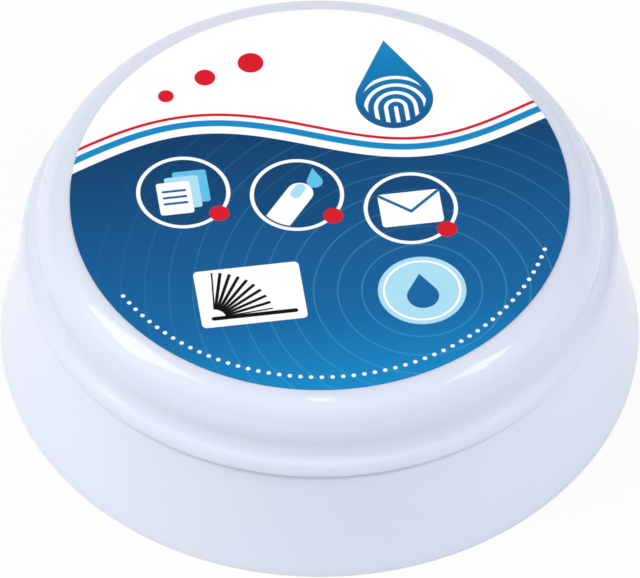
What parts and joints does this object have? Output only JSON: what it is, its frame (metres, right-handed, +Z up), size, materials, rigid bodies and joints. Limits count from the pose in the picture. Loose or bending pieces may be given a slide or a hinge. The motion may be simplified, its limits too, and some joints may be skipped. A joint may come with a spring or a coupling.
{
  "type": "finger moistener",
  "caption": "Low round tub of finger-moistening gel with a flared base, a threaded inner cup and a screw lid with a foam liner and a round printed label.",
  "frame": {"origin": "middle of the foot, on the surface that the tub stands on", "axes": "+Z up along the tub's axis, +Y away from the viewer of the picture, +X to the viewer's right"},
  "size_m": [0.064, 0.064, 0.0207],
  "materials": {
    "shell_plastic": "glossy cool white polypropylene",
    "cup_plastic": "semi-gloss white polypropylene",
    "gel": "wet translucent gel",
    "liner_foam": "white closed-cell foam sheet",
    "lid_plastic": "glossy cool white polypropylene",
    "label_film": "printed satin film, white with blue"
  },
  "bodies": {
    "jar": {"outer_shell": "shell_plastic", "gel_cup": "cup_plastic", "moistening_gel": "gel"},
    "liner": {"sealing_liner": "liner_foam"},
    "lid": {"lid_cap": "lid_plastic", "lid_label": "label_film"}
  },
  "joints": [
    {"name": "lid_lift", "type": "slide", "parent": "jar", "child": "liner", "axis": [0, 0, 1], "range_m": [0, 0.018]},
    {"name": "lid_turn", "type": "hinge", "parent": "liner", "child": "lid", "pos_m": [0, 0, 0], "axis": [0, 0, 1], "range_deg": [0, 720]}
  ],
  "couplings": [
    {"joint": "lid_lift", "follows": "lid_turn", "m_per_rad": 0.0014324}
  ]
}
